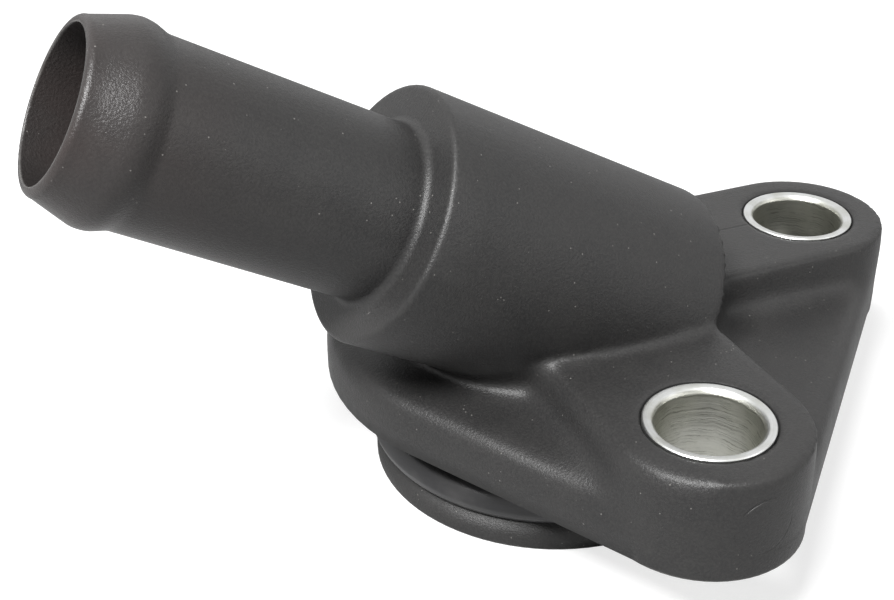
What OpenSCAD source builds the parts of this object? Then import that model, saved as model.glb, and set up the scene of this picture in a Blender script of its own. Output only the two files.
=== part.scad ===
// Coolant outlet pipe: a moulded two-bolt elbow with a sealed spigot below and a hose tube above.
// The origin is on the spigot axis, in the mounting face. Z points away from the engine.
// The hose tube leans towards -X, one bolt lies on -Y and the other on +X.

/* [Bolt ears] */
// Distance of each bolt axis from the spigot axis
bolt_offset = 28.3; // [26:0.1:34]
// Height of the ears and of their metal sleeves
ear_height = 9.5; // [7.5:0.1:14]
// Radius of the ears around their bolts
ear_radius = 8.8; // [8:0.1:10]
// Radius of the rounded upper edge of the ears
pad_edge = 0.8; // [0.3:0.1:1.2]

/* [Mounting flange] */
// Radius of the flange around the spigot
flange_radius = 22.5; // [21:0.1:26]
// Thickness of the flange plate
flange_thickness = 5.2; // [3.6:0.1:6]
// Step of the flange's rim back from the ears' outer walls
flange_setback = 0.1; // [0.05:0.05:0.5]
// Radius of the rounded upper edge of the flange
flange_edge = 1.6; // [0.6:0.1:2.2]
// Radius of the hollow fillets on top of the flange
flange_cove = 1.6; // [0.6:0.1:2.2]

/* [Bolt sleeves] */
// Outer diameter of a sleeve
sleeve_od = 11; // [10.4:0.1:12]
// Bore of a sleeve, for an M8 bolt
sleeve_bore = 8.9; // [8.4:0.1:9.6]
// Chamfer inside both ends of a sleeve
sleeve_chamfer = 0.4; // [0.1:0.05:0.5]
// Gap between a sleeve and its hole, on the radius
sleeve_gap = 0.05; // [0.02:0.01:0.2]

/* [Spigot and seal] */
// Outer radius of the spigot's lower land
spigot_radius = 17.9; // [16.8:0.1:19]
// Depth of the spigot below the mounting face
spigot_depth = 11.3; // [10:0.1:15]
// Height of the lower land
land_height = 2.8; // [1.5:0.1:4]
// Cord diameter of the seal ring
seal_cord = 3.5; // [2.6:0.1:3.8]
// Height by which the seal stands proud of the land
seal_proud = 0.5; // [0.2:0.05:0.8]
// Gap between the seal and its groove
seal_gap = 0.05; // [0.02:0.01:0.2]
// Step of the neck above the groove, back from the land
neck_step = 0.7; // [0.3:0.1:1.2]
// Chamfer of the spigot's lower rim
spigot_chamfer = 0.25; // [0.1:0.05:1]

/* [Chamber] */
// Outer radius of the round chamber on the flange
chamber_radius = 16.4; // [15.8:0.1:17.2]
// Radius of the bore that leads in from the engine
inlet_radius = 12; // [9:0.1:12.4]
// Thickness of the chamber's roof
roof_thickness = 2.6; // [1.8:0.1:3.2]
// Height of the round riser that leads from the chamber into the pipe
riser_height = 11.5; // [11:0.1:11.8]

/* [Boss] */
// Angle of the pipe above the mounting face
pipe_angle = 29; // [24:0.5:34]
// Sideways offset of the pipe's axis, towards the front bolt
pipe_offset = 5; // [2:0.1:6]
// Height of the pipe's axis where it passes the spigot axis
pipe_height = 10.6; // [9.6:0.1:12]
// Outer radius of the boss
boss_radius = 11.5; // [10.8:0.1:12.4]
// Length of the boss ahead of the spigot axis, along the pipe
boss_front = 22.7; // [20:0.1:28]
// Length of the boss behind the spigot axis
boss_back = 8.1; // [7.4:0.1:9.4]
// Radius of the boss's rounded rims
boss_edge = 0.5; // [0.2:0.1:1]

/* [Hose tube] */
// Outer radius of the tube
tube_radius = 7.9; // [7.4:0.1:8.8]
// Radius of the tube's bore
bore_radius = 6.4; // [5.2:0.1:6.5]
// Distance ahead of the spigot axis at which the bore starts, along the pipe
bore_start = 3; // [2.8:0.1:3.6]
// Length of the tube ahead of the boss
tube_length = 28.7; // [22:0.1:40]
// Height of the hose bead above the tube, before its crest is rounded
bead_height = 0.7; // [0.4:0.05:1]
// Distance of the bead's crest from the mouth
bead_setback = 4.5; // [4:0.1:8]
// Length of the step from the tube up to the bead
bead_ramp = 2; // [1.6:0.1:3]
// Radius of the rounding over the bead's crest
crest_round = 3; // [1:0.1:3.4]
// Radius of the hollow at the bead's foot
foot_round = 2; // [0.6:0.1:2.6]
// Narrowing of the tube's tip on the radius, from the crest to the mouth
tip_taper = 1.4; // [0.6:0.1:1.5]
// Radius of the rounded rim at the mouth
rim_round = 0.6; // [0.2:0.05:0.6]
// Radius of the hollow fillet where the tube leaves the boss
tube_cove = 0.8; // [0.3:0.1:1.5]

/* [Hidden] */
$fn = 96;
// Sides of the circles in small sections, of the flange's discs and of their rounded edge
section_sides = 48;
flange_sides = 72;
flange_edge_sides = 20;
// Steps of each rounded corner of the hose bead
corner_steps = 8;

// How far joined solids reach into each other
embed = 0.4;
// How far a cutting solid passes the face that it cuts
pass = 1;

front_bolt = [0, -bolt_offset];
rear_bolt = [bolt_offset, 0];
ear_flange_radius = ear_radius - flange_setback;
// Angle in plan between the flange's rim and an ear
rim_angle = asin((flange_radius - ear_flange_radius) / bolt_offset);
// Distance before a bolt axis at which an ear's fillet has run out, clear of the flange's round edge
cove_stop = (ear_radius * cos(rim_angle) - ear_flange_radius + flange_edge) / sin(rim_angle);
sleeve_hole_radius = sleeve_od / 2 + sleeve_gap;

groove_bottom = land_height - spigot_depth;
groove_top = groove_bottom + seal_cord + 2 * seal_gap;
seal_radius = spigot_radius + seal_proud - seal_cord / 2;
groove_floor = seal_radius - seal_cord / 2 - seal_gap;
seal_height = (groove_bottom + groove_top) / 2;
neck_radius = spigot_radius - neck_step;

mouth = boss_front + tube_length;
bead_crest = mouth - bead_setback;
bead_foot = bead_crest - bead_ramp;
tip_radius = tube_radius + bead_height - tip_taper;

// A disc is [x, y, radius]. The angle of the outward normal of the tangent from disc a to disc b,
// for discs that are listed counter-clockwise
function tangent_angle(a, b) =
    let (dx = b[0] - a[0], dy = b[1] - a[1])
    atan2(dy, dx) - acos((a[2] - b[2]) / norm([dx, dy]));

function rim_point(disc, angle) = [disc[0] + disc[2] * cos(angle), disc[1] + disc[2] * sin(angle)];

function inset(discs, depth) = [for (disc = discs) [disc[0], disc[1], disc[2] - depth]];

function next_disc(discs, i) = discs[(i + 1) % len(discs)];

// The polygon through the ends of the tangents that wrap the discs
function tangent_points(discs) = [
    for (i = [0 : len(discs) - 1], end = [0, 1])
        let (angle = tangent_angle(discs[i], next_disc(discs, i)))
        rim_point(end == 0 ? discs[i] : next_disc(discs, i), angle)
];

// The points of an arc that rounds a corner of an outline
function corner_arc(before, corner, after, radius) =
    let (
        back = (before - corner) / norm(before - corner),
        ahead = (after - corner) / norm(after - corner),
        half = acos(back * ahead) / 2,
        turn = 180 - 2 * half,
        centre = corner + (back + ahead) / norm(back + ahead) * radius / sin(half),
        start = corner + back * radius / tan(half) - centre,
        finish = corner + ahead * radius / tan(half) - centre
    )
    [
        for (i = [0 : corner_steps])
            let (angle = turn * i / corner_steps)
            centre + (start * sin(turn - angle) + finish * sin(angle)) / sin(turn)
    ];

module torus(ring_radius, cord_radius) {
    rotate_extrude()
        translate([ring_radius, 0])
            circle(r = cord_radius, $fn = section_sides);
}

// A disc whose upper edge is rounded
module rounded_disc(radius, height, edge) {
    cylinder(r = radius, h = height - edge);
    cylinder(r = radius - edge, h = height);
    translate([0, 0, height - edge])
        torus(radius - edge, edge);
}

// A round bar between two points of a plane
module lying_bar(from, to, radius) {
    run = to - from;
    translate(from)
        rotate([0, 90, atan2(run[1], run[0])])
            cylinder(r = radius, h = norm(run));
}

// A slab that wraps the discs, with a rounded upper edge
module rounded_slab(discs, height, edge) {
    inner = inset(discs, edge);
    inner_points = tangent_points(inner);
    linear_extrude(height = height - edge)
        polygon(tangent_points(discs));
    linear_extrude(height = height)
        polygon(inner_points);
    for (disc = discs)
        translate([disc[0], disc[1], 0])
            rounded_disc(disc[2], height, edge);
    for (i = [0 : len(discs) - 1])
        translate([0, 0, height - edge])
            lying_bar(inner_points[2 * i], inner_points[2 * i + 1], edge);
}

// The round cut, centred on a length of X, that leaves a hollow fillet beside it
module cove_cut(length) {
    translate([-length / 2, 0, flange_cove])
        rotate([0, 90, 0])
            cylinder(r = flange_cove, h = length, $fn = section_sides);
}

// A hollow fillet along X, in the corner above the flange and to the right of a wall.
// Its end runs out into the wall, parallel to the flange's rim
module cove_bar(length) {
    difference() {
        translate([0, -flange_cove, -embed])
            cube([length, flange_cove + embed, flange_cove + embed]);
        translate([length / 2, -flange_cove, 0])
            cove_cut(length + 2 * pass);
        translate([length, 0, 0])
            rotate([0, 0, rim_angle]) {
                cove_cut(length);
                translate([-length / 2, -2 * flange_cove, 0])
                    cube([length, 2 * flange_cove, flange_cove + pass]);
            }
    }
}

// One of the flange's rounded discs
module flange_disc(centre, radius) {
    translate(centre)
        rotate_extrude($fn = flange_sides) {
            square([radius, flange_thickness - flange_edge]);
            square([radius - flange_edge, flange_thickness]);
            translate([radius - flange_edge, flange_thickness - flange_edge])
                circle(r = flange_edge, $fn = flange_edge_sides);
        }
}

// Wraps the flange around the spigot and both ears
module flange() {
    hull() {
        flange_disc([0, 0], flange_radius);
        flange_disc(front_bolt, ear_flange_radius);
        flange_disc(rear_bolt, ear_flange_radius);
    }
}

// An ear that points along +X, with its two fillets
module ear() {
    rounded_slab([[0, 0, ear_radius], [bolt_offset, 0, ear_radius]], ear_height, pad_edge);
    for (side = [-1, 1])
        translate([bolt_offset / 2, 0, flange_thickness])
            mirror([0, side > 0 ? 1 : 0, 0])
                translate([0, -ear_radius, 0])
                    cove_bar(bolt_offset / 2 - cove_stop);
}

module chamber() {
    rounded_disc(chamber_radius, ear_height, pad_edge);
    translate([0, 0, flange_thickness])
        rotate_extrude()
            difference() {
                translate([chamber_radius - embed, -embed])
                    square(flange_cove + embed);
                translate([chamber_radius + flange_cove, flange_cove])
                    circle(r = flange_cove, $fn = section_sides);
            }
}

module spigot() {
    rotate_extrude()
        polygon([
            [0, -spigot_depth],
            [spigot_radius - spigot_chamfer, -spigot_depth],
            [spigot_radius, spigot_chamfer - spigot_depth],
            [spigot_radius, groove_bottom],
            [groove_floor, groove_bottom],
            [groove_floor, groove_top],
            [neck_radius, groove_top],
            [neck_radius, embed],
            [0, embed]
        ]);
}

// Turns Z into the pipe's axis, with 0 where the axis passes the spigot axis
module along_pipe() {
    translate([0, -pipe_offset, pipe_height])
        rotate([0, pipe_angle - 90, 0])
            children();
}

module boss_profile() {
    length = boss_back + boss_front;
    translate([0, -boss_back]) {
        square([boss_radius - boss_edge, length]);
        translate([0, boss_edge])
            square([boss_radius, length - 2 * boss_edge]);
        for (end = [boss_edge, length - boss_edge])
            translate([boss_radius - boss_edge, end])
                circle(r = boss_edge, $fn = section_sides);
    }
}

module tube_profile() {
    root = [tube_radius, boss_front - embed];
    foot = [tube_radius, bead_foot];
    crest = [tube_radius + bead_height, bead_crest];
    tip = [tip_radius, mouth - rim_round];
    polygon(concat(
        [[0, boss_front - embed], root],
        corner_arc(root, foot, crest, foot_round),
        corner_arc(foot, crest, tip, crest_round),
        [tip, [tip_radius - rim_round, mouth], [0, mouth]]
    ));
    translate([tip_radius - rim_round, mouth - rim_round])
        circle(r = rim_round, $fn = section_sides);
    difference() {
        translate([tube_radius - embed, boss_front - embed])
            square(tube_cove + embed);
        translate([tube_radius + tube_cove, boss_front + tube_cove])
            circle(r = tube_cove, $fn = section_sides);
    }
}

module ducts() {
    translate([0, 0, -spigot_depth - pass])
        cylinder(r = inlet_radius, h = spigot_depth + ear_height - roof_thickness + pass);
    translate([0, -pipe_offset, 0])
        cylinder(r = bore_radius, h = riser_height);
    along_pipe()
        translate([0, 0, bore_start])
            cylinder(r = bore_radius, h = mouth - bore_start + pass);
    for (bolt = [front_bolt, rear_bolt])
        translate([bolt[0], bolt[1], -pass])
            cylinder(r = sleeve_hole_radius, h = ear_height + 2 * pass);
}

module pipe_body() {
    color([0.2, 0.2, 0.2])
        difference() {
            union() {
                flange();
                rotate([0, 0, -90])
                    ear();
                ear();
                chamber();
                spigot();
                along_pipe() {
                    rotate_extrude()
                        boss_profile();
                    rotate_extrude()
                        tube_profile();
                }
            }
            ducts();
        }
}

module sleeve() {
    outer = sleeve_od / 2;
    inner = sleeve_bore / 2;
    color([0.82, 0.83, 0.85])
        rotate_extrude()
            polygon([
                [inner, sleeve_chamfer],
                [inner + sleeve_chamfer, 0],
                [outer, 0],
                [outer, ear_height],
                [inner + sleeve_chamfer, ear_height],
                [inner, ear_height - sleeve_chamfer]
            ]);
}

module front_sleeve() {
    translate(front_bolt)
        sleeve();
}

module rear_sleeve() {
    translate(rear_bolt)
        sleeve();
}

module seal_ring() {
    color([0.1, 0.1, 0.1])
        translate([0, 0, seal_height])
            torus(seal_radius, seal_cord / 2);
}

pipe_body();
front_sleeve();
rear_sleeve();
seal_ring();
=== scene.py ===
"""Dresses the moulded coolant outlet pipe, its two bolt sleeves and its seal ring."""

import math

import bmesh
import bpy
from mathutils import Matrix, Vector
from mathutils.bvhtree import BVHTree


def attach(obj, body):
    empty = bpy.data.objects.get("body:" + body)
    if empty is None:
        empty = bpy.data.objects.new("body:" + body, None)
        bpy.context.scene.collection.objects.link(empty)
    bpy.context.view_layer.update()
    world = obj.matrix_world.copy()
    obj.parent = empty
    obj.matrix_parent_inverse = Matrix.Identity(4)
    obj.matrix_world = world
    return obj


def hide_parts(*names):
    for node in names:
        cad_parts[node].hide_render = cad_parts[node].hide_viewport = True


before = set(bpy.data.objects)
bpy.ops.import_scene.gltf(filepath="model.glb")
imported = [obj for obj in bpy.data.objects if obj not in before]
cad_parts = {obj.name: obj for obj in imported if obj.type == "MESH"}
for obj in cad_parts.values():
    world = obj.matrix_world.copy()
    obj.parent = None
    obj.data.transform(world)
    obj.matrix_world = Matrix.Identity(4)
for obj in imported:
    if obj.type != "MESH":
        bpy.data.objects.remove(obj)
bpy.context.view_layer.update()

MM = 0.001

# Sizes that the dressed pieces share with the CAD solids, in metres
BOLT_REACH_MM = 28.3
FRONT_BOLT = Vector((0, -BOLT_REACH_MM, 0)) * MM
REAR_BOLT = Vector((BOLT_REACH_MM, 0, 0)) * MM
EAR_HEIGHT = 9.5 * MM
EAR_FRONT = Vector((0.3, -37.1, 4.9)) * MM
PIPE_START = Vector((0, -5, 10.6)) * MM
PIPE_AXIS = Vector((-0.8746197, 0, 0.4848096))
TUBE_TIP = -48 * MM
TUBE_FOOT = -24 * MM
SLEEVE_OUTER = 5.5 * MM
SLEEVE_INNER = 4.45 * MM
SEAL_RADIUS = 16.65 * MM
SEAL_CORD = 1.75 * MM
SEAL_HEIGHT = -6.7 * MM
STANDING_HEIGHT = -11.3 * MM

# How the moulding's skin is made: where it takes over from the crisp ends, and how finely
COLLAR = PIPE_START + PIPE_AXIS * 18.5 * MM
WAIST = Vector((0, 0, 2)) * MM
BRIDGE_GAP = 0.03 * MM
SKIN_PITCH = 0.36 * MM
LEAST_PASSES, MORE_PASSES = 4, 40

# Colours
PLASTIC_DARK = (0.010, 0.010, 0.0106, 1)
PLASTIC_LIGHT = (0.022, 0.0213, 0.0208, 1)
PLASTIC_SPECKLE = (0.042, 0.041, 0.039, 1)
PLASTIC_BROWN = (0.036, 0.026, 0.024, 1)
# Painted highlight along the rounded edges, with some rubbed wear
PLASTIC_WEAR_AND_HIGHLIGHT = (0.21, 0.205, 0.195, 1)
PLASTIC_FLECK = (0.26, 0.25, 0.235, 1)
MARK_SHADE = (0.006, 0.006, 0.006, 1)
GAP_SHADE = (0.002, 0.002, 0.002, 1)
ZINC_BRIGHT = (0.78, 0.79, 0.79, 1)
ZINC_DULL = (0.56, 0.565, 0.52, 1)
ZINC_LINES = (0.40, 0.405, 0.39, 1)
ZINC_BORE_SHADE = (0.43, 0.43, 0.375, 1)
ZINC_CUTS = (0.17, 0.17, 0.15, 1)
ZINC_EDGE_HIGHLIGHT = (0.94, 0.94, 0.93, 1)
RUBBER_BLACK = (0.012, 0.012, 0.013, 1)
RUBBER_BLOOM = (0.035, 0.034, 0.034, 1)
RUBBER_DUST = (0.2, 0.2, 0.19, 1)


# Shader building


def put(tree, kind, settings=None, **values):
    """Adds a node, sets its own settings, and fills its sockets by name or number."""
    made = tree.nodes.new(kind)
    for name, value in (settings or {}).items():
        setattr(made, name, value)
    for name, value in values.items():
        key = int(name[1:]) if name[0] == "_" and name[1:].isdigit() else name.replace("_", " ")
        socket = made.inputs[key]
        if isinstance(value, bpy.types.NodeSocket):
            tree.links.new(value, socket)
        else:
            socket.default_value = value
    return made


def maths(tree, operation, first, second=0.0, third=0.0, clamp=False):
    """The result of one sum on numbers or sockets."""
    settings = {"operation": operation, "use_clamp": clamp}
    return put(tree, "ShaderNodeMath", settings, _0=first, _1=second, _2=third).outputs[0]


def vectors(tree, operation, first, second=(0, 0, 0)):
    """One sum on two vectors, as a node."""
    return put(tree, "ShaderNodeVectorMath", {"operation": operation}, _0=first, _1=second)


def ramp(tree, value, low, high, to_low=0.0, to_high=1.0):
    """A smooth step of a value from one range to another."""
    made = put(
        tree,
        "ShaderNodeMapRange",
        {"interpolation_type": "SMOOTHSTEP"},
        Value=value,
        From_Min=low,
        From_Max=high,
        To_Min=to_low,
        To_Max=to_high,
    )
    return made.outputs["Result"]


def blend(tree, amount, first, second):
    """One colour laid over another by an amount from 0 to 1."""
    made = put(tree, "ShaderNodeMix", {"data_type": "RGBA"}, _0=amount, _6=first, _7=second)
    return made.outputs[2]


def noise(tree, where, scale, detail=3.0, roughness=0.55, kind="3D"):
    """Cloudy noise from 0 to 1 at a scale in cycles per metre, over a place or along one length."""
    made = put(
        tree,
        "ShaderNodeTexNoise",
        {"noise_dimensions": kind},
        Scale=scale,
        Detail=detail,
        Roughness=roughness,
    )
    tree.links.new(where, made.inputs["W" if kind == "1D" else "Vector"])
    return made.outputs["Fac"]


def new_group(name, inputs, outputs):
    """An empty shader group with its named inputs and outputs."""
    group = bpy.data.node_groups.new(name, "ShaderNodeTree")
    for label, kind, value in inputs:
        socket = group.interface.new_socket(label, in_out="INPUT", socket_type=kind)
        if value is not None:
            socket.default_value = value
    for label, kind in outputs:
        group.interface.new_socket(label, in_out="OUTPUT", socket_type=kind)
    return group, group.nodes.new("NodeGroupInput"), group.nodes.new("NodeGroupOutput")


def use(tree, group, **values):
    """A shared group, put to work in one material."""
    return put(tree, "ShaderNodeGroup", {"node_tree": group}, **values)


def moulded_grain_group():
    """The skin that a mould leaves on filled plastic: grain, cloudy mottle and bright fibre flecks."""
    group, into, out = new_group(
        "moulded_grain",
        [
            ("Grain Scale", "NodeSocketFloat", 3200.0),
            ("Fleck Share", "NodeSocketFloat", 0.03),
        ],
        [
            ("Height", "NodeSocketFloat"),
            ("Mottle", "NodeSocketFloat"),
            ("Flecks", "NodeSocketFloat"),
            ("Speckle", "NodeSocketFloat"),
        ],
    )
    where = put(group, "ShaderNodeTexCoord").outputs["Object"]
    fine = noise(group, where, into.outputs["Grain Scale"], 4.0, 0.65)
    coarse = noise(group, where, 620.0, 3.0, 0.6)
    height = maths(group, "MULTIPLY_ADD", coarse, 0.32, fine)
    mottle = noise(group, where, 170.0, 5.0, 0.62)
    cells = put(group, "ShaderNodeTexVoronoi", {"feature": "F1"}, Vector=where, Scale=3600.0)
    pick = put(group, "ShaderNodeSeparateColor", Color=cells.outputs["Color"]).outputs["Red"]
    rare = maths(group, "LESS_THAN", pick, into.outputs["Fleck Share"])
    centre = ramp(group, cells.outputs["Distance"], 0.16, 0.3, 1.0, 0.0)
    flecks = maths(group, "MULTIPLY", rare, centre)
    group.links.new(height, out.inputs["Height"])
    group.links.new(mottle, out.inputs["Mottle"])
    group.links.new(flecks, out.inputs["Flecks"])
    group.links.new(ramp(group, fine, 0.36, 0.66), out.inputs["Speckle"])
    return group


def soft_edge_group():
    """Rounds the light over sharp edges and gives their mask, for a painted edge highlight with rubbed
    wear, stronger in patches.
    """
    group, into, out = new_group(
        "soft_edge",
        [("Radius", "NodeSocketFloat", 0.0004), ("Patchiness", "NodeSocketFloat", 0.5)],
        [("Mask", "NodeSocketFloat"), ("Normal", "NodeSocketVector")],
    )
    bevel = put(group, "ShaderNodeBevel", {"samples": 8}, Radius=into.outputs["Radius"])
    flat = put(group, "ShaderNodeNewGeometry").outputs["Normal"]
    alike = vectors(group, "DOT_PRODUCT", bevel.outputs[0], flat).outputs["Value"]
    edge = maths(group, "SUBTRACT", 1.0, alike, clamp=True)
    edge = ramp(group, edge, 0.004, 0.12)
    where = put(group, "ShaderNodeTexCoord").outputs["Object"]
    worn_and_lit_patches = ramp(group, noise(group, where, 480.0, 4.0), 0.35, 0.65)
    kept = maths(group, "SUBTRACT", 1.0, into.outputs["Patchiness"])
    share = maths(group, "MULTIPLY_ADD", worn_and_lit_patches, into.outputs["Patchiness"], kept)
    group.links.new(maths(group, "MULTIPLY", edge, share), out.inputs["Mask"])
    group.links.new(bevel.outputs[0], out.inputs["Normal"])
    return group


GRAIN = moulded_grain_group()
SOFT_EDGE = soft_edge_group()


def new_material(name):
    """An empty material with its tree and its shader."""
    material = bpy.data.materials.new(name)
    material.use_nodes = True
    tree = material.node_tree
    return material, tree, tree.nodes["Principled BSDF"]


def near_axis(tree, where, point, direction):
    """Distance from a line, and distance along it, of every place on a piece."""
    unit = tuple(Vector(direction).normalized())
    offset = vectors(tree, "SUBTRACT", where, tuple(point)).outputs[0]
    cross = vectors(tree, "CROSS_PRODUCT", offset, unit).outputs[0]
    away = vectors(tree, "LENGTH", cross).outputs["Value"]
    along = vectors(tree, "DOT_PRODUCT", offset, unit).outputs["Value"]
    return away, along


def thin_line(tree, value, middle, core, width):
    """1 on a line's core, where a value is near its middle, fading to 0 at the line's width."""
    off = maths(tree, "ABSOLUTE", maths(tree, "SUBTRACT", value, middle))
    return ramp(tree, off, core, width, 1.0, 0.0)


def witness_ring(tree, where, centre, direction, radius, width):
    """Parts of a thin circle that a mould insert leaves on a wall."""
    away, along = near_axis(tree, where, centre, direction)
    line = thin_line(tree, away, radius, 0.35 * width, width)
    outside = maths(tree, "GREATER_THAN", along, -3 * MM)
    worn = ramp(tree, noise(tree, where, 300.0, 2.0), 0.44, 0.58, 0.0, 0.9)
    return maths(tree, "MULTIPLY", maths(tree, "MULTIPLY", line, outside), worn)


def knit_line(tree, parts, level, start, end, width):
    """The faint seam where two flows of plastic met on the rear ear."""
    x, y, z = parts
    fade = 0.5 * MM
    line = thin_line(tree, y, level, 0.3 * width, width)
    after = ramp(tree, x, start, start + fade)
    before = ramp(tree, x, end, end + fade, 1.0, 0.0)
    on_top = maths(tree, "GREATER_THAN", z, EAR_HEIGHT - 0.2 * MM)
    run = maths(tree, "MULTIPLY", after, before)
    return maths(tree, "MULTIPLY", maths(tree, "MULTIPLY", line, run), on_top)


def sleeve_gap_shadow(tree, where, bolt):
    """A painted shadow: the dark crescent beside a sleeve that sits a little off the middle of its hole.
    """
    shift = Vector((0.1, 0.11, 0)) * MM
    near, far = SLEEVE_OUTER + 0.12 * MM, SLEEVE_OUTER + 0.24 * MM
    away, _ = near_axis(tree, where, bolt + shift, (0, 0, 1))
    return ramp(tree, away, near, far, 1.0, 0.0)


def overlay(tree, base, amount, share, colour):
    """Lays a colour over another by a mask, at a share of its strength."""
    return blend(tree, maths(tree, "MULTIPLY", amount, share), base, colour)


def roughen(tree, shader, height, strength, depth, normal=None):
    """Raises a height into the shader's surface, over rounded edges if their normal is given."""
    values = {"Normal": normal} if normal else {}
    bump = put(tree, "ShaderNodeBump", Strength=strength, Distance=depth, Height=height, **values)
    tree.links.new(bump.outputs[0], shader.inputs["Normal"])


def moulded_plastic():
    """Satin charcoal filled nylon, browner and shinier towards the hose tube's tip."""
    material, tree, shader = new_material("moulded_nylon")
    where = put(tree, "ShaderNodeTexCoord").outputs["Object"]
    split = put(tree, "ShaderNodeSeparateXYZ", Vector=where)
    parts = split.outputs["X"], split.outputs["Y"], split.outputs["Z"]
    grain = use(tree, GRAIN, Grain_Scale=4600.0, Fleck_Share=0.014).outputs
    edge = use(tree, SOFT_EDGE, Radius=0.00035, Patchiness=0.75).outputs

    ring = witness_ring(tree, where, EAR_FRONT, (0.03, -1, 0), 2.7 * MM, 0.14 * MM)
    knit = knit_line(tree, parts, 0.1 * MM, 12 * MM, 22.4 * MM, 0.22 * MM)
    marks = maths(tree, "ADD", ring, maths(tree, "MULTIPLY", knit, 0.6), clamp=True)
    front_gap_shadow = sleeve_gap_shadow(tree, where, FRONT_BOLT)
    rear_gap_shadow = sleeve_gap_shadow(tree, where, REAR_BOLT)
    gap_shadows = maths(tree, "ADD", front_gap_shadow, rear_gap_shadow, clamp=True)

    tip = ramp(tree, parts[0], TUBE_TIP, TUBE_FOOT, 1.0, 0.0)
    streaks = ramp(tree, noise(tree, where, 90.0, 4.0), 0.35, 0.75, 0.35, 1.0)
    brown = maths(tree, "MULTIPLY", tip, streaks)
    colour = blend(tree, grain["Mottle"], PLASTIC_DARK, PLASTIC_LIGHT)
    colour = overlay(tree, colour, grain["Speckle"], 0.28, PLASTIC_SPECKLE)
    colour = overlay(tree, colour, brown, 0.55, PLASTIC_BROWN)
    # Painted edge highlight with rubbed wear: a lighter colour along the rounded edges
    colour = overlay(tree, colour, edge["Mask"], 0.5, PLASTIC_WEAR_AND_HIGHLIGHT)
    colour = overlay(tree, colour, marks, 0.55, MARK_SHADE)
    # Painted shadow in the gaps round the sleeves
    colour = blend(tree, gap_shadows, colour, GAP_SHADE)
    colour = overlay(tree, colour, grain["Flecks"], 0.45, PLASTIC_FLECK)
    tree.links.new(colour, shader.inputs["Base Color"])

    rough = maths(tree, "MULTIPLY_ADD", grain["Mottle"], 0.2, 0.29)
    rough = maths(tree, "MULTIPLY_ADD", edge["Mask"], -0.1, rough)
    rough = maths(tree, "MULTIPLY_ADD", grain["Flecks"], -0.2, rough)
    rough = maths(tree, "MULTIPLY_ADD", tip, -0.09, rough)
    rough = maths(tree, "MULTIPLY_ADD", gap_shadows, 0.5, rough, clamp=True)
    tree.links.new(rough, shader.inputs["Roughness"])
    shader.inputs["Specular IOR Level"].default_value = 0.3

    height = maths(tree, "MULTIPLY_ADD", marks, -2.0, grain["Height"])
    roughen(tree, shader, height, 0.8, 0.00007, edge["Normal"])
    return material


def plated_steel(name, centre):
    """Bright zinc-plated steel, turned round the sleeve's own axis, darker and yellower in its bore where
    painted shade stands for its dark reflections.
    """
    material, tree, shader = new_material(name)
    where = put(tree, "ShaderNodeTexCoord").outputs["Object"]
    away, along = near_axis(tree, where, centre, (0, 0, 1))
    lathe = maths(tree, "ADD", away, along)
    wobble = maths(tree, "MULTIPLY_ADD", noise(tree, where, 260.0, 2.0), 0.0004, lathe)
    lines = noise(tree, wobble, 9000.0, 4.0, 0.7, "1D")
    broad = noise(tree, wobble, 1500.0, 2.0, 0.5, "1D")
    stain = noise(tree, where, 420.0, 5.0)
    edge = use(tree, SOFT_EDGE, Radius=0.00012, Patchiness=0.3).outputs

    wall_start, wall_end = SLEEVE_INNER + 0.1 * MM, SLEEVE_INNER + 0.3 * MM
    bore = ramp(tree, away, wall_start, wall_end, 1.0, 0.0)
    wandering = maths(tree, "MULTIPLY_ADD", stain, 0.0012, along)
    cuts = ramp(tree, noise(tree, wandering, 5200.0, 4.0, 0.75, "1D"), 0.45, 0.65, 0.0, 0.7)
    patchy = ramp(tree, noise(tree, where, 700.0, 3.0), 0.4, 0.6, 0.15, 1.0)
    colour = blend(tree, ramp(tree, stain, 0.35, 0.75), ZINC_BRIGHT, ZINC_DULL)
    colour = overlay(tree, colour, lines, 0.5, ZINC_LINES)
    # Painted shade and dark reflections in the bore, with a yellowish tint
    colour = overlay(tree, colour, bore, 0.75, ZINC_BORE_SHADE)
    colour = overlay(tree, colour, maths(tree, "MULTIPLY", bore, cuts), patchy, ZINC_CUTS)
    # Painted highlight along the sleeve's edges
    colour = overlay(tree, colour, edge["Mask"], 0.6, ZINC_EDGE_HIGHLIGHT)
    tree.links.new(colour, shader.inputs["Base Color"])

    shader.inputs["Metallic"].default_value = 1.0
    rough = maths(tree, "MULTIPLY_ADD", lines, 0.16, 0.2)
    rough = maths(tree, "MULTIPLY_ADD", stain, 0.1, rough, clamp=True)
    tree.links.new(rough, shader.inputs["Roughness"])
    height = maths(tree, "MULTIPLY_ADD", broad, 1.4, lines)
    roughen(tree, shader, height, 0.5, 0.00003, edge["Normal"])
    return material


def seal_rubber():
    """Black rubber with a faint bloom, a little dust and a soft shine."""
    material, tree, shader = new_material("seal_rubber")
    grain = use(tree, GRAIN, Grain_Scale=5200.0, Fleck_Share=0.004).outputs
    bloom = ramp(tree, grain["Mottle"], 0.45, 0.8)
    colour = blend(tree, bloom, RUBBER_BLACK, RUBBER_BLOOM)
    colour = overlay(tree, colour, grain["Flecks"], 0.4, RUBBER_DUST)
    tree.links.new(colour, shader.inputs["Base Color"])
    rough = maths(tree, "MULTIPLY_ADD", grain["Mottle"], 0.2, 0.24)
    tree.links.new(rough, shader.inputs["Roughness"])
    roughen(tree, shader, grain["Height"], 0.35, 0.00002)
    return material


# Pieces


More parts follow.
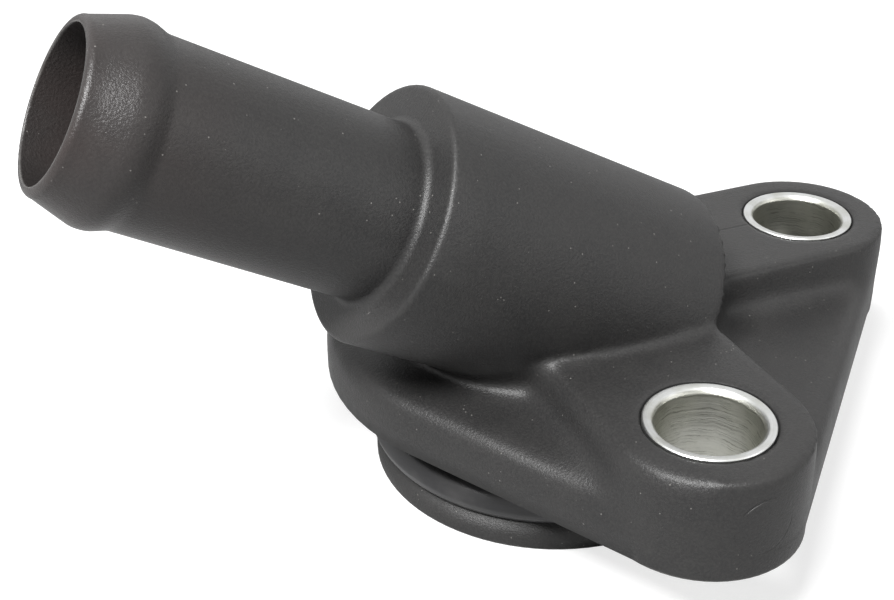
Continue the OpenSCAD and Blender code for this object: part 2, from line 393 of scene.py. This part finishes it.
def place_piece(name, mesh, material, node):
    """Puts a finished mesh in the scene in a CAD node's place, riding on the root body."""
    made = bpy.data.objects.new(name, mesh)
    bpy.context.scene.collection.objects.link(made)
    mesh.materials.append(material)
    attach(made, "root")
    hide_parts(node)


def turned_piece(name, outline, centre, steps, material, node):
    """A smooth turned piece with its sharp corners kept."""
    tools = turned(outline, centre, steps)
    bmesh.ops.remove_doubles(tools, verts=tools.verts, dist=1e-7)
    bmesh.ops.recalc_face_normals(tools, faces=tools.faces)
    for face in tools.faces:
        face.smooth = True
    mesh = bpy.data.meshes.new(name)
    tools.to_mesh(mesh)
    tools.free()
    mesh.set_sharp_from_angle(angle=math.radians(38))
    place_piece(name, mesh, material, node)


def turned(outline, centre, steps):
    """Spins a closed outline of (radius, height) points round a vertical axis."""
    tools = bmesh.new()
    places = [(centre.x + radius, centre.y, centre.z + height) for radius, height in outline]
    points = [tools.verts.new(place) for place in places]
    edges = [tools.edges.new((a, b)) for a, b in zip(points, points[1:] + points[:1])]
    bmesh.ops.spin(
        tools,
        geom=points + edges,
        cent=centre,
        axis=(0, 0, 1),
        dvec=(0, 0, 0),
        angle=2 * math.pi,
        steps=steps,
        use_merge=True,
        use_duplicate=False,
    )
    return tools


def sleeve_outline():
    """A tube's section with rolled rims, lead-in chamfers and shallow turning marks inside."""
    inner, outer, top = SLEEVE_INNER, SLEEVE_OUTER, EAR_HEIGHT
    chamfer, rim, ridge = 0.4 * MM, 0.1 * MM, 0.012 * MM
    ridges = 22
    outside = [(outer - rim, 0), (outer, rim), (outer, top - rim), (outer - rim, top)]
    above = [
        (inner + chamfer + rim, top),
        (inner + chamfer - rim, top - rim),
        (inner + rim * 0.4, top - chamfer),
    ]
    below = [
        (inner + rim * 0.4, chamfer),
        (inner + chamfer - rim, rim),
        (inner + chamfer + rim, 0),
    ]
    marks = []
    for i in range(2 * ridges + 1):
        height = top - chamfer - rim - (top - 2 * chamfer - 2 * rim) * i / (2 * ridges)
        marks.append((inner + (0.0 if i % 2 else ridge), height))
    return outside + above + marks + below


def bolt_sleeve(name, node, centre):
    """One turned metal sleeve in its ear."""
    material = plated_steel(f"{node}_plate", centre)
    turned_piece(name, sleeve_outline(), centre, 160, material, node)


def seal_outline():
    """A round cord's section with a fine mould flash on its outside."""
    sides, flash = 40, 0.05 * MM
    outline = []
    for i in range(sides):
        angle = 2 * math.pi * i / sides
        proud = flash if i == 0 else 0.0
        radius = SEAL_RADIUS + (SEAL_CORD + proud) * math.cos(angle)
        outline.append((radius, SEAL_HEIGHT + SEAL_CORD * math.sin(angle)))
    return outline


def seal_ring(material):
    """The rubber ring in the spigot's groove."""
    axis = Vector((0, 0, 0))
    turned_piece("spigot_seal", seal_outline(), axis, 192, material, "seal_ring")


def step_up(value, low, high):
    """0 below low, 1 above high, and an even slope between."""
    return min(1.0, max(0.0, (value - low) / (high - low)))


def softness(place):
    """How much the mould rounds the body here: 0 on crisp features, 1 in the flange's corners.

    The places and steps are in millimetres."""
    x, y, z = place / MM
    front = math.hypot(x, y + BOLT_REACH_MM)
    rear = math.hypot(x - BOLT_REACH_MM, y)
    clear_of_holes = step_up(min(front, rear), 6.6, 7.6)
    over_the_rim = step_up(z, 1.6, 3.4)
    outside_the_bore = step_up(math.hypot(x, y), 12.6, 13.6)
    ceiling = 9.2
    if x < -6:
        ceiling = 10.6
    if x < -4 and y < -15:
        ceiling = 9.9
    below_the_pads = 1.0 - step_up(z, ceiling - 0.7, ceiling)
    crisper_shoulder = 1.0 - 0.6 * step_up(-x, 12, 15) * step_up(-y, -2, 0)
    return clear_of_holes * over_the_rim * outside_the_bore * below_the_pads * crisper_shoulder


def merged_copy(node):
    """A bmesh of a CAD node's solid with its loose triangles joined."""
    tools = bmesh.new()
    tools.from_mesh(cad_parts[node].data)
    bmesh.ops.remove_doubles(tools, verts=tools.verts, dist=1e-6)
    return tools


def cut_away(tools, point, normal):
    """Removes what lies beyond a plane, on the side that its normal points to."""
    bmesh.ops.bisect_plane(
        tools,
        geom=list(tools.verts) + list(tools.edges) + list(tools.faces),
        dist=1e-7,
        plane_co=point,
        plane_no=normal,
        clear_outer=True,
    )


def even_skin(tools, pitch):
    """The same solid under an even grid of small faces, as a bmesh."""
    mesh = bpy.data.meshes.new("even_skin")
    tools.to_mesh(mesh)
    shell = bpy.data.objects.new("even_skin", mesh)
    bpy.context.scene.collection.objects.link(shell)
    remesh = shell.modifiers.new("even_skin", "REMESH")
    remesh.mode = "VOXEL"
    remesh.voxel_size = pitch
    skin = bpy.data.meshes.new_from_object(shell.evaluated_get(bpy.context.evaluated_depsgraph_get()))
    even = bmesh.new()
    even.from_mesh(skin)
    bpy.data.objects.remove(shell)
    bpy.data.meshes.remove(mesh)
    bpy.data.meshes.remove(skin)
    return even


def round_corners(tools, solid):
    """Smooths the skin, most in the flange's corners.

    Where the solid is crisp, and flat or evenly round, the skin is laid back on it."""
    shares = [softness(vert.co) for vert in tools.verts]
    passes = [round(LEAST_PASSES + MORE_PASSES * share) for share in shares]
    for turn in range(LEAST_PASSES + MORE_PASSES):
        moving = [vert for vert, count in zip(tools.verts, passes) if turn < count]
        bmesh.ops.smooth_vert(
            tools, verts=moving, factor=0.5, use_axis_x=True, use_axis_y=True, use_axis_z=True
        )
    tools.normal_update()
    for vert, share in zip(tools.verts, shares):
        near, normal, _, away = solid.find_nearest(vert.co)
        if share < 0.02 and away < 0.1 * MM and abs(normal.dot(vert.normal)) > 0.992:
            vert.co = near


def rim_loops(edges):
    """Sorts loose boundary edges into closed loops."""
    left = set(edges)
    loops = []
    while left:
        loop, front = [], [left.pop()]
        while front:
            edge = front.pop()
            loop.append(edge)
            for vert in edge.verts:
                for other in vert.link_edges:
                    if other in left:
                        left.remove(other)
                        front.append(other)
        loops.append(loop)
    return loops


def bridge_rims(tools, plane, normal):
    """Joins each open rim on one side of a cut to the rim that faces it on the other side."""

    def beside_the_cut(edge):
        return all(abs((vert.co - plane).dot(normal)) < 2 * BRIDGE_GAP for vert in edge.verts)

    rims = [edge for edge in tools.edges if edge.is_boundary and beside_the_cut(edge)]
    sides = {True: [], False: []}
    for loop in rim_loops(rims):
        ends = [vert.co for edge in loop for vert in edge.verts]
        middle = sum(ends, Vector()) / len(ends)
        reach = sum((end - middle).length for end in ends) / len(ends)
        sides[(middle - plane).dot(normal) > 0].append((loop, middle, reach))
    for loop, middle, reach in sides[True]:
        twin = min(
            sides[False],
            key=lambda other: (other[1] - middle).length + abs(other[2] - reach),
        )
        bmesh.ops.bridge_loops(tools, edges=loop + twin[0])


def moulded_body(material):
    """The moulding, made of merged copies of its CAD solid.

    The spigot and the hose tube keep their crisp edges. Between them an even skin gets the soft
    corners that the real moulding has, and the three are bridged where they meet."""
    upward = Vector((0, 0, 1))
    crisp = merged_copy("pipe_body")
    solid = BVHTree.FromBMesh(crisp)
    middle = even_skin(crisp, SKIN_PITCH)
    round_corners(middle, solid)
    cut_away(middle, COLLAR - PIPE_AXIS * BRIDGE_GAP, PIPE_AXIS)
    cut_away(middle, WAIST + upward * BRIDGE_GAP, -upward)

    tube = crisp.copy()
    cut_away(tube, COLLAR + PIPE_AXIS * BRIDGE_GAP, -PIPE_AXIS)
    cut_away(crisp, WAIST - upward * BRIDGE_GAP, upward)

    mesh = bpy.data.meshes.new("moulded_pipe")
    whole = bmesh.new()
    for part in (crisp, tube, middle):
        part.to_mesh(mesh)
        part.free()
        whole.from_mesh(mesh)
    bridge_rims(whole, COLLAR, PIPE_AXIS)
    bridge_rims(whole, WAIST, upward)
    for face in whole.faces:
        face.smooth = True
    whole.to_mesh(mesh)
    whole.free()
    mesh.set_sharp_from_angle(angle=math.radians(32))
    place_piece("moulded_pipe", mesh, material, "pipe_body")


moulded_body(moulded_plastic())
bolt_sleeve("front_bolt_sleeve", "front_sleeve", FRONT_BOLT)
bolt_sleeve("rear_bolt_sleeve", "rear_sleeve", REAR_BOLT)
seal_ring(seal_rubber())


# Studio


def white_floor():
    """A pale floor that reads as white to the camera and keeps the object's soft shadow."""
    tools = bmesh.new()
    bmesh.ops.create_grid(tools, x_segments=1, y_segments=1, size=2.0)
    bmesh.ops.translate(tools, verts=tools.verts, vec=(0, 0, STANDING_HEIGHT))
    mesh = bpy.data.meshes.new("studio_floor")
    tools.to_mesh(mesh)
    tools.free()
    floor = bpy.data.objects.new("studio_floor", mesh)
    bpy.context.scene.collection.objects.link(floor)
    material, tree, shader = new_material("white_paper")
    shader.inputs["Base Color"].default_value = (0.4, 0.4, 0.4, 1)
    shader.inputs["Roughness"].default_value = 0.9
    shader.inputs["Specular IOR Level"].default_value = 0.1
    shader.inputs["Emission Color"].default_value = (1, 1, 1, 1)
    seen = put(tree, "ShaderNodeLightPath").outputs["Is Camera Ray"]
    tree.links.new(maths(tree, "MULTIPLY", seen, 0.72), shader.inputs["Emission Strength"])
    mesh.materials.append(material)


def white_surround(level):
    """An even white surround that lights the object softly and shows white to the camera and in gloss."""
    world = bpy.data.worlds.new("white_surround")
    bpy.context.scene.world = world
    world.use_nodes = True
    tree = world.node_tree
    tree.nodes.clear()
    path = put(tree, "ShaderNodeLightPath")
    direct = maths(tree, "MAXIMUM", path.outputs["Is Camera Ray"], path.outputs["Is Transmission Ray"])
    shown = maths(tree, "MAXIMUM", direct, path.outputs["Is Glossy Ray"])
    strength = maths(tree, "MULTIPLY_ADD", shown, 1.0 - level, level)
    background = put(tree, "ShaderNodeBackground", Color=(1, 1, 1, 1), Strength=strength)
    out = put(tree, "ShaderNodeOutputWorld")
    tree.links.new(background.outputs[0], out.inputs["Surface"])


def softbox(name, place, aim, size, power):
    """A soft rectangular lamp turned towards a point."""
    lamp = bpy.data.lights.new(name, "AREA")
    lamp.shape = "RECTANGLE"
    lamp.size, lamp.size_y = size
    lamp.energy = power
    made = bpy.data.objects.new(name, lamp)
    bpy.context.scene.collection.objects.link(made)
    made.location = place
    made.rotation_mode = "QUATERNION"
    made.rotation_quaternion = (Vector(aim) - Vector(place)).to_track_quat("-Z", "Y")


def photo_camera():
    """The photograph's viewpoint: heading, height, roll and distance about a point on the object."""
    heading, height, roll = math.radians(-22.376), math.radians(31.343), math.radians(-0.511)
    target = Vector((-13.166, -4.441, 7.906)) * MM
    distance = 126.469 * MM
    sensor, picture_width, focal_pixels, shift_pixels = 36, 894, 1366.663, 30
    level = math.cos(height)
    back = Vector((math.sin(heading) * level, -math.cos(heading) * level, math.sin(height)))
    across = Vector((math.cos(heading), math.sin(heading), 0))
    upward = back.cross(across)
    right = across * math.cos(roll) + upward * math.sin(roll)
    up = upward * math.cos(roll) - across * math.sin(roll)
    lens = bpy.data.cameras.new("photo_camera")
    lens.sensor_width = sensor
    lens.lens = focal_pixels * sensor / picture_width
    lens.shift_y = shift_pixels / picture_width
    lens.clip_start, lens.clip_end = 0.005, 20
    camera = bpy.data.objects.new("photo_camera", lens)
    bpy.context.scene.collection.objects.link(camera)
    turn = Matrix((right, up, back)).transposed().to_4x4()
    camera.matrix_world = Matrix.Translation(target + back * distance) @ turn
    bpy.context.scene.camera = camera


white_floor()
white_surround(0.22)
softbox("key_softbox", (-0.24, -0.17, 0.38), (-0.01, -0.005, 0.005), (0.16, 0.12), 5.6)
softbox("fill_softbox", (0.35, -0.45, 0.25), (0, 0, 0), (0.4, 0.3), 0.55)
photo_camera()
bpy.context.scene.view_settings.view_transform = "Standard"
